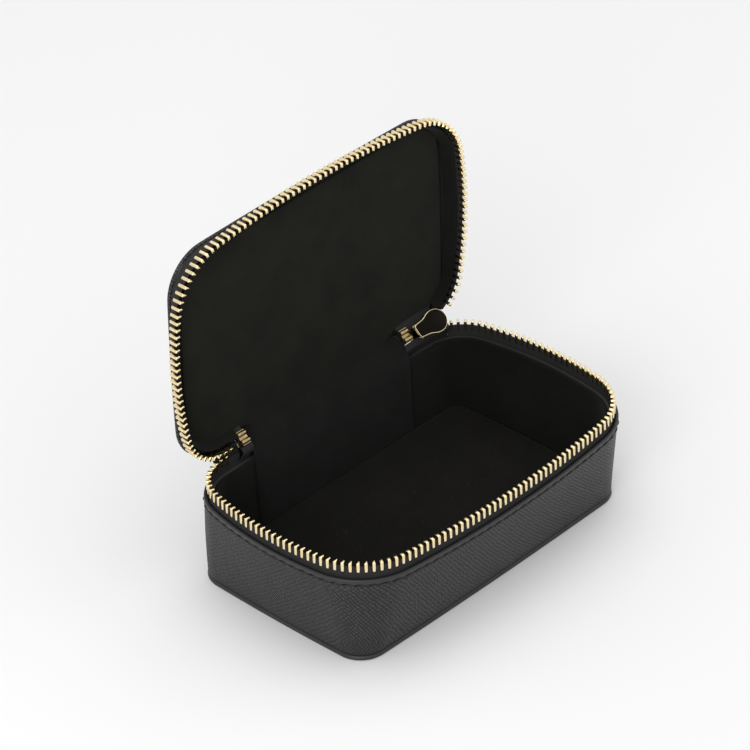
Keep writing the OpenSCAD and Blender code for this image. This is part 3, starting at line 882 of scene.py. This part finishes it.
# %% [markdown]
# ## The two tapes
# Each tape is sewn to its half of the case and stands up to carry its row of teeth. The
# lid's tape is wider, because it is also the lid's side. It is drawn with the lid shut and
# then turned about the fold line, which keeps both tapes on the same outline.

# %% Tapes of the base and the lid
def to_open(points, share=1.0):
    """Turns points drawn with the lid shut about the fold line, as far as the rest pose."""
    w = open_angle * share
    p = np.asarray(points, float)
    y, z = p[..., 1] - fold[1], p[..., 2] - fold[2]
    turned = p.copy()
    turned[..., 1] = fold[1] + y * math.cos(w) + z * math.sin(w)
    turned[..., 2] = fold[2] - y * math.sin(w) + z * math.cos(w)
    return turned


TAPE = 0.3
base_tape = [wall_ring(z, -EDGE_OUT + TAPE, zip_places) for z in (24, 27, wall_top - 0.5)]
base_tape += [level(outline(chain_plan, g, zip_places), zip_z + z) for g, z in
              ((TAPE, -ZIP_RISE), (TAPE, -3.2), (TAPE, -1.5), (TAPE * 0.5, -1.15),
               (-TAPE * 0.5, -1.15), (-TAPE, -1.5), (-TAPE, -3.2), (-TAPE, -ZIP_RISE))]
base_tape += [wall_ring(z, -EDGE_OUT - TAPE, zip_places) for z in (wall_top - 0.5, 27, 24)]
points, faces, uv = skin(base_tape, closed=False, loop=True, caps=True)
tape = new_piece("base_zip_tape_weave", points, faces, tape_finish, uv)
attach(tape, "base")
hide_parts("base_zip_tape")
print("base tape faces", len(faces))

SIDE_FOOT = 1.2
SIDE_TOP = lid_outer - 1.5


def side_ring(z, grow, plan=lid_plan):
    """A ring of the lid's side, z above the zip line, between the zip's plan and another."""
    s = (z - SIDE_FOOT) / (SIDE_TOP - SIDE_FOOT)
    return level(outline(mix(chain_plan, plan, s), grow - 0.6 * s, zip_places), zip_z + z)


belly = [(z, TAPE + 0.35 * math.sin(math.pi * (z - SIDE_FOOT) / (SIDE_TOP - SIDE_FOOT)))
         for z in np.linspace(1.5, SIDE_TOP, 7)]
lid_tape = [side_ring(SIDE_FOOT, -0.15), side_ring(SIDE_FOOT, 0.15)]
lid_tape += [side_ring(z, g) for z, g in belly]
lid_tape += [side_ring(z, g - 2 * TAPE) for z, g in belly[::-1]]
points, faces, uv = skin(lid_tape, closed=False, loop=True, caps=True)
tape = new_piece("lid_zip_tape_weave", to_open(points), faces, tape_finish, uv)
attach(tape, "lid")
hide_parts("lid_zip_tape")
print("lid tape faces", len(faces))

# %% [markdown]
# ## The teeth
# Every tooth is a small bar of brass, nearly even in width, with legs that grip the tape and
# a rounded head that enters the gap between two opposite teeth. The lid's row is the same
# row turned over and moved half a pitch, which is what lets the two rows mesh.

# %% Teeth
TOOTH_THICK = 1.5


def tooth():
    """A tooth seen along the tape: x across its width, y its height, z through the tape."""
    half = [(0.36, -2.70), (0.47, -2.50), (0.48, -1.60), (0.50, -1.20), (0.47, -0.70), (0.49, -0.20),
            (0.49, 0.05), (0.42, 0.32), (0.24, 0.48)]
    shape = half + [(-x, y) for x, y in half[::-1]]
    return plate(shape, TOOTH_THICK, 0.20, rounds=2)


def teeth_row(shift, flip):
    """A row along the zip line, shifted by a share of the pitch; flip points it downwards."""
    parts = []
    one = tooth()
    centred = (one[0] - np.array([0, 0, TOOTH_THICK / 2]), one[1])
    for i in range(tooth_count):
        u = place_at(chain, zip_from + (i + 0.5 + shift) * PITCH)
        w = math.radians(angle_at(chain, u))
        x, y = point_at(chain, u, 0)
        outward = np.array([math.cos(w), math.sin(w), 0.0])
        along = np.cross(outward, [0, 0, 1.0])
        upward = np.array([0, 0, -1.0 if flip else 1.0])
        parts.append(placed(centred, (along, upward, outward), (x, y, zip_z)))
    return gather(parts)


points, faces = teeth_row(0, False)
teeth = new_piece("base_teeth", points, faces, gold, sharp=50)
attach(teeth, "base")
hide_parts("base_zip_teeth")
points, faces = teeth_row(0.5, True)
teeth = new_piece("lid_teeth", to_open(points), faces, gold, sharp=50)
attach(teeth, "lid")
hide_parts("lid_zip_teeth")
print("teeth faces a row", len(faces))

# %% [markdown]
# ## The lid's panel
# The lid is a flat board wrapped in grained leather, with a round turned edge. It is drawn
# shut, like the base, and then turned open in code, so one set of outlines serves both
# halves.

# %% Lid panel
panel_in = lid_outer - 1.3
lid_section = [(-1.4, panel_in), (-0.5, panel_in + 0.03), (-0.14, panel_in + 0.2),
               (0.0, panel_in + 0.55), (0.0, panel_in + 0.8), (-0.12, lid_outer - 0.2),
               (-0.4, lid_outer - 0.06), (-0.8, lid_outer - 0.02)]
panel_rings = [level(outline(lid_plan, -1.4, around) * s, zip_z + panel_in) for s in (0.1, 0.5, 0.95)]
panel_rings += [level(outline(lid_plan, g, around), zip_z + z) for g, z in lid_section]
panel_rings += pad_rings(outline(lid_plan, -0.8, around), zip_z + lid_outer - 0.02, 0.02)
points, faces, uv = filled(panel_rings)
uv = [(points[i][0], points[i][1]) for face in faces for i in face]
lid_panel = new_piece("lid_panel_leather", to_open(points), faces, lid_finish, uv, sharp=60)
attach(lid_panel, "lid")
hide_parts("lid_leather")
print("lid panel faces", len(faces))

# %% [markdown]
# ## The lid's lining
# Inside the lid lies a thin suede pad, and a second strip of suede runs round behind the
# tape. The pad's back edge is drawn in where the stops and the slider need room when the lid
# is shut, as a maker would trim it.

# %% Lid lining
suede_in = lid_outer - 3.3
pad_section = [(-2.0, suede_in + 0.62), (-1.95, suede_in + 0.3), (-2.15, suede_in + 0.06),
               (-2.6, suede_in), (-3.4, suede_in - 0.02)]
pad_all = [level(outline(lid_plan, -2.0, around) * s, zip_z + suede_in + 0.62) for s in (0.1, 0.5, 0.95)]
pad_all += [level(outline(lid_plan, g, around), zip_z + z) for g, z in pad_section]
pad_all += pad_rings(outline(lid_plan, -3.4, around), zip_z + suede_in - 0.02, -0.18)
points, faces, uv = filled(pad_all, flip=True)
BACK_EDGE, EDGE_AT_STOPS, EDGE_AT_SLIDER = 33.2, 31.0, 29.7
stop_middle = -stop_high[0] + 1.6
reach = np.full(len(points), BACK_EDGE)
reach[np.abs(np.abs(points[:, 0]) - stop_middle) < 2.6] = EDGE_AT_STOPS
reach[(points[:, 0] > slider_low[0] - 1.4) & (points[:, 0] < slider_high[0] + 0.6)] = EDGE_AT_SLIDER
points[:, 1] = np.minimum(points[:, 1], reach)
lid_pad = new_piece("suede_lid_pad", to_open(points), faces, lid_suede, uv, sharp=60)
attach(lid_pad, "lid")
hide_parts("lid_lining")

lining_plan = lid_plan.copy()
lining_plan[2] = min(lid_back, chain_back - 1)
side_section = [(z, -1.3) for z in np.linspace(1.75, suede_in - 0.1, 4)]
side_rows = [side_ring(z, g, lining_plan) for z, g in side_section]
side_rows += [side_ring(z, g - 0.55, lining_plan) for z, g in side_section[::-1]]
side_rows.insert(8, side_ring(1.6, -1.55, lining_plan))
points, faces, uv = skin(side_rows, closed=False, loop=True, caps=True)
side_lining = new_piece("suede_lid_side", to_open(points), faces, wall_suede, uv)
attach(side_lining, "lid")
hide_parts("lid_side_lining")
print("lid lining faces", len(faces))

# %% [markdown]
# ## The hinge: two sheets that bend
# The hinge has no metal. A strip of leather outside and a strip of suede inside are sewn to
# both halves and simply bend. Each is one sheet here.

# %% Strips across the fold
def smooth_path(corners, count=48):
    """A rounded path through a few corner points, evenly spaced."""
    p = np.array(corners, float)
    for _ in range(3):
        a, b = p[:-1] * 0.75 + p[1:] * 0.25, p[:-1] * 0.25 + p[1:] * 0.75
        p = np.vstack([p[:1], np.stack([a, b], 1).reshape(-1, 2), p[-1:]])
    s = np.concatenate([[0], np.cumsum(np.linalg.norm(np.diff(p, axis=0), axis=1))])
    t = np.linspace(0, s[-1], count)
    return np.column_stack([np.interp(t, s, p[:, 0]), np.interp(t, s, p[:, 1])]), s[-1]


def strip(name, corners, spans, thickness, finish, follow=None, waist=None):
    """Sheets of even thickness on a path in y and z, each running over a span of x.
    Returns the piece, the length of the path and the width of all spans.
    follow(x) shifts the lower end in y, so that a sheet can start on a curved edge.
    waist is a height above which the sheet is a little narrower, to pass between the stops."""
    STEP, WAIST_CUT, WAIST_FADE = 2.6, 0.095, 1.2
    path, length = smooth_path(corners)
    along = np.gradient(path, axis=0)
    along /= np.linalg.norm(along, axis=1)[:, None]
    normal = np.column_stack([-along[:, 1], along[:, 0]])
    loop = np.vstack([path + normal * thickness / 2, (path - normal * thickness / 2)[::-1]])
    middle = np.vstack([path, path[::-1]])
    share = np.linspace(1, 0, len(path)) ** 0.5
    share = np.concatenate([share, share[::-1]])
    narrow = np.clip((middle[:, 1] - waist) / WAIST_FADE, 0, 1) if waist else np.zeros(len(middle))
    width_share = 1 - WAIST_CUT * narrow
    edge = 0.35 * thickness
    half = len(path)
    points, faces, uv = [], [], []
    for x0, x1 in spans:
        rings = []
        inner_stations = np.linspace(x0 + edge, x1 - edge, max(4, int((x1 - x0) / STEP)))
        for x in [x0, *inner_stations, x1]:
            pinch = 0.55 if x in (x0, x1) else 1.0
            spot = middle + (loop - middle) * pinch
            spot[:, 0] += share * (follow(x) if follow else 0)
            rings.append(np.column_stack([x * width_share, spot]))
        p, f, _ = skin(rings)
        m, n = len(rings), len(loop)
        for first, flip in ((0, False), ((m - 1) * n, True)):
            for i in range(half - 1):
                face = [first + i, first + i + 1, first + n - 2 - i, first + n - 1 - i]
                f.append(face[::-1] if flip else face)
        distance = np.concatenate([np.linspace(0, length, half), np.linspace(length, 0, half)])
        uv.extend([(p[i][0], distance[i % n]) for face in f for i in face])
        faces.extend([[i + len(points) for i in face] for face in f])
        points.extend(p)
    return new_piece(name, points, faces, finish, uv), length, sum(x1 - x0 for x0, x1 in spans)


spine_low, spine_high = box_mm("base_spine")
WAIST = 33.0
outer_path = [(34.35, 1.9), (35.3, wall_top), (35.35, 33.0), (35.15, 34.2), (34.75, 35.2), (35.2, 35.9),
              (35.95, 35.6), (36.4, 35.0), (38.0, 34.9)]
spine, spine_l, spine_w = strip("hinge_spine_leather", outer_path, [(spine_low[0], spine_high[0])], 0.8,
                                 plain_leather, waist=WAIST)
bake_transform(spine)
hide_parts("base_spine", "lid_spine")
spine_w * MM
spine_l * MM

inner_path = [(29.75, floor_top + 0.2), (30.3, 27.0), (30.25, 30.6), (31.3, 33.6), (32.8, 35.6),
              (35.2, 36.5), (36.95, 36.9), (37.05, 39.5)]
inner, inner_l, inner_w = strip("hinge_strip_suede", inner_path, [(-32.95, 32.95)], 0.6, strip_suede)
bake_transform(inner)
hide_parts("base_hinge_strip", "lid_hinge_strip")
inner_w * MM
inner_l * MM
print("hinge sheets", round(spine_l, 1), round(inner_l, 1))

# %% [markdown]
# ## The ends of the tapes
# Beyond the last teeth the tapes run on for a short way, into the stops and the slider. On the
# real case they bend as the lid turns; here each end is a thin sheet of its own.

# %% Tape ends that run into the stops and the slider
TAPE_SHEET = 0.5
back_line = outline(chain_plan, 0, [k / 40 for k in range(68)])


def zip_sag(x):
    """How far the zip line has come forward from its middle, at a distance along the hinge."""
    return float(np.interp(abs(x), back_line[:, 0], back_line[:, 1])) - chain_back


lower_path = [(33.2, 22.5), (33.25, 30.0), (32.1, 32.2), (30.9, 34.0), (32.0, 35.5)]
sheet, length, width = strip("base_tape_ends", lower_path, [(left_x, -32.4), (32.4, right_x)],
                             TAPE_SHEET, tape_finish, zip_sag)
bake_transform(sheet)
width * MM
length * MM
print("base tape ends", round(width, 1), round(length, 1))

upper_path = [(34.2, 37.7), (35.7, 39.2), (37.1, 40.2), (37.75, 41.8), (37.8, 46.5)]
sheet, length, width = strip("lid_tape_ends", upper_path, [(-38.6, -33.05), (33.05, 48.0)],
                             TAPE_SHEET, tape_finish)
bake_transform(sheet)
width * MM
length * MM
print("lid tape ends", round(width, 1), round(length, 1))

web_path = [(33.75, 24.5), (33.75, 34.0), (34.3, 35.6), (35.2, 36.6), (37.0, 36.75)]
sheet, length, width = strip("left_zip_web", web_path, [(-46.5, -36.3)], 0.35, tape_finish, zip_sag)
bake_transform(sheet)
width * MM
length * MM
print("web between the rows", round(width, 1), round(length, 1))

# %% [markdown]
# ## The end stops
# The end stops are small boxes of sheet brass crimped over the tapes, ribbed for grip. Like
# the slider they are drawn upright and turned half as far as the lid, because the folded
# tape ends share the bend between them.

# %% End stops
STOP_LENGTH = 3.2
STOP_HALF_HEIGHT = 2.2
STOP_HALF_DEPTH = 1.2
RIB_AT, RIB_HALF, RIB_OUT = 1.2, 0.74, 0.58
STOP_BACK, STOP_UP = 0.4, 2.2
ends_y = fold[1] - 0.1
ends_z = zip_z + 1.2


def end_stop(x):
    """Profile in depth and height, with two ribs on each face, run along the hinge."""
    half = []
    for z in np.linspace(-STOP_HALF_HEIGHT, STOP_HALF_HEIGHT, 25):
        from_rib = abs(z) - RIB_AT
        rib = max(0, math.cos(from_rib * 2.1)) ** 0.5 if abs(from_rib) < RIB_HALF else 0
        half.append((STOP_HALF_DEPTH + RIB_OUT * rib, z))
    shape = half + [(-d, z) for d, z in half[::-1]]
    part = plate(shape, STOP_LENGTH, 0.3)
    start = (x - STOP_LENGTH / 2, ends_y + STOP_BACK, zip_z + STOP_UP)
    return placed(part, ((0, 1, 0), (0, 0, 1), (1, 0, 0)), start)


for node, name in (("left_stop", "left_end_stop"), ("right_stop", "right_end_stop")):
    low, high = box_mm(node)
    points, faces = end_stop((low[0] + high[0]) / 2)
    # the stops take the gold painted darker, a painted dark reflection
    piece = new_piece(name, to_open(points, 0.5), faces, stop_metal)
    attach(piece, "zip_ends")
    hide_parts(node)
    print(name, "faces", len(faces))

# %% [markdown]
# ## The slider
# The slider is a pair of shield plates on a post, broad at the shoulders and narrow at the
# tail, with turned-in lips that guide the teeth. One outline serves both plates; the small
# helper that rounds the rims of a flat shape makes the post and the lips too.

# %% Slider
slider_x = (slider_low[0] + slider_high[0]) / 2
GAP = 4.4
PLATE = 0.7


def slider_shape():
    """The plate's outline: narrow tail at the left, full round shoulders at the right."""
    top = [(-6.2, 1.5), (-5.7, 2.2), (-3.6, 2.35), (-1.8, 2.6), (-0.4, 3.25), (0.9, 3.62),
           (2.4, 3.7), (4.0, 3.3), (5.2, 2.35), (5.95, 1.2), (6.2, 0.0)]
    outline_points = top + [(x, -y) for x, y in top[-2::-1]]
    dense, _ = smooth_path(outline_points + outline_points[:1], 60)
    return dense[:-1]


def slider_parts():
    """Two plates a gap apart, the post between them and four lips along their rims."""
    half = GAP / 2
    one = plate(slider_shape(), PLATE, 0.22)
    front = placed(one, UPRIGHT, (0, -half, 0))
    rear = placed(one, UPRIGHT, (0, half + PLATE, 0))
    post = placed(plate([(1.8, -1), (4.1, -0.7), (4.1, 0.7), (1.8, 1), (1.4, 0)], GAP + 0.4, 0.1),
                  UPRIGHT, (0, half + 0.2, 0))
    parts = [front, rear, post]
    for v in (-1, 1):
        for w in (-1, 1):
            lip = plate([(-5.6, 0), (-0.6, 0), (-0.9, 0.65), (-5.4, 0.65)], 1.35, 0.15)
            parts.append(placed(lip, ((1, 0, 0), (0, 0, -w), (0, -v, 0)), (0, v * (half + 0.15), w * 2.3)))
    return gather(parts)


points, faces = slider_parts()
upright = np.asarray(points) + (slider_x, ends_y, ends_z)
slider = new_piece("zip_slider", to_open(upright, 0.5), faces, gold)
# the front plate's faces get the metal with the painted dark reflection of the black lining
slider.data.materials.append(shaded_metal)
for polygon, face in zip(slider.data.polygons, faces):
    is_plate_face = len(face) > 20
    if is_plate_face and points[face[0]][1] < 0:
        polygon.material_index = 1
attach(slider, "zip_ends")
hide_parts("slider_body")
print("slider faces", len(faces))

# %% [markdown]
# ## The bridge
# The puller hangs from a low arch on the slider's outer plate. It is a bar bent to a flat
# arch, with both feet set into the plate, and the puller's eye turns on its middle.

# %% Bridge that carries the puller
REACH = 2.3
bridge_path, _ = smooth_path([(-2.9, -0.2), (-2.85, 1.5), (-2.2, REACH), (2.2, REACH), (2.85, 1.5),
                              (2.9, -0.2)], 40)
path = np.column_stack([bridge_path[:, 0], bridge_path[:, 1], np.zeros(len(bridge_path))])
points, faces = tube(path, 0.55, sides=18)
points = points + (slider_x, ends_y + GAP / 2 + PLATE, ends_z)
bridge = new_piece("slider_bridge_arch", to_open(points, 0.5), faces, gold)
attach(bridge, "zip_ends")
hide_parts("slider_bridge")
print("bridge faces", len(faces))

# %% [markdown]
# ## The puller
# A metal link turns on the bridge and holds a leather tab with a rivet. The tab is one flat
# shape with rounded rims and a line of small stitches on both faces. All of it is drawn
# about the bar that it turns on, so that the puller swings true.

# %% Puller: link, leather tab and rivet
bar = np.array(joints["puller_swing"]["pos_m"]) * 1000


def ring_tube(radius, wire, length, turns=28):
    """The link's eye: a short sleeve round the bar, with rounded ends."""
    rim = 0.15
    outer, end = radius + wire, length / 2
    profile = [(radius, -end + rim), (radius + 0.12, -end), (outer - rim, -end), (outer, -end + rim),
               (outer, end - rim), (outer - rim, end), (radius + 0.12, end), (radius, end - rim)]
    rings = [[(x, r * math.cos(w), r * math.sin(w)) for w in turn_angles(turns)] for r, x in profile]
    points, faces, _ = skin(rings, loop=True)
    return points, faces


rivet_low, rivet_high = box_mm("tab_rivet")
rivet_z = (rivet_low[2] + rivet_high[2]) / 2 - bar[2]
blade_shape, _ = smooth_path([(-1.3, -0.9), (-1.3, -3.0), (-2.0, -4.6), (-1.7, rivet_z - 1.7),
                              (0, rivet_z - 2.0), (1.7, rivet_z - 1.7), (2.0, -4.6), (1.3, -3.0),
                              (1.3, -0.9), (-1.3, -0.9)], 50)
blade = placed(plate(blade_shape[:-1], 1.0, 0.2), UPRIGHT, (0, 0.5, 0))
points, faces = gather([ring_tube(0.63, 0.7, 2.6), blade])
link = new_piece("puller_metal_link", np.asarray(points) + bar, faces, gold)

TAB_THICK = 1.7
SEW_IN = 0.9
tab_low, tab_high = box_mm("pull_tab")
tab_half = (tab_high[0] - tab_low[0]) / 2
tab_top, tab_bottom = tab_high[2] - bar[2], tab_low[2] - bar[2]
tab_shape = [(-tab_half, tab_top - 1.0), (-tab_half + 1.0, tab_top), (tab_half - 1.0, tab_top),
             (tab_half, tab_top - 1.0)]
tab_shape += [(tab_half * math.cos(w), tab_bottom + tab_half + tab_half * math.sin(w))
              for w in np.linspace(0, -math.pi, 22)]
part = placed(plate(tab_shape, TAB_THICK, 0.4, rounds=3), UPRIGHT, (0, TAB_THICK / 2, 0))
tab = new_piece("puller_leather_tab", np.asarray(part[0]) + bar, part[1], plain_leather)

sew = []
sew_half = tab_half - SEW_IN
trace = [(-sew_half, z) for z in np.arange(tab_top - 4.2, tab_bottom + tab_half, -1.9)]
trace += [(sew_half * math.cos(w), tab_bottom + tab_half + sew_half * math.sin(w))
          for w in np.linspace(math.pi + 0.2, 2 * math.pi - 0.2, 5)]
trace += [(sew_half, z) for z in np.arange(tab_bottom + tab_half, tab_top - 4.0, 1.9)]
small = stitch(1.4, 0.16, 0.1)
for (x0, z0), (x1, z1) in zip(trace[:-1], trace[1:]):
    way = np.array([x1 - x0, 0, z1 - z0])
    if np.linalg.norm(way) > 3:
        continue
    way = way / np.linalg.norm(way)
    for face_y in (-1, 1):
        outward = np.array([0, face_y, 0.0])
        sew.append(placed(small, (way, np.cross(outward, way), outward),
                          ((x0 + x1) / 2, face_y * 0.87, (z0 + z1) / 2)))
points, faces = gather(sew)
tab_seam = new_piece("puller_tab_stitches", np.asarray(points) + bar, faces, thread_finish)

dome = []
rivet_profile = ((0.7, 0.0), (0.7, 0.8), (1.5, 0.86), (1.5, 0.98), (1.25, 1.16), (0.7, 1.25), (0.1, 1.26))
for face_y in (-1, 1):
    rings = [[(r * math.cos(w), h, r * math.sin(w)) for w in turn_angles(24)] for r, h in rivet_profile]
    p, f, _ = filled(rings)
    dome.append(placed((p, f), ((1, 0, 0), (0, face_y, 0), (0, 0, 1)), (0, 0, rivet_z)))
points, faces = gather(dome)
rivet = new_piece("puller_rivet", np.asarray(points) + bar, faces, gold)
for piece, node, finish_slot in ((link, "puller_link", "gold_metal"), (tab, "pull_tab", "black_leather"),
                                 (tab_seam, None, "black_textile"), (rivet, "tab_rivet", "gold_metal")):
    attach(piece, "puller")
    if node:
        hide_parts(node)
print("puller stitches", len(sew))
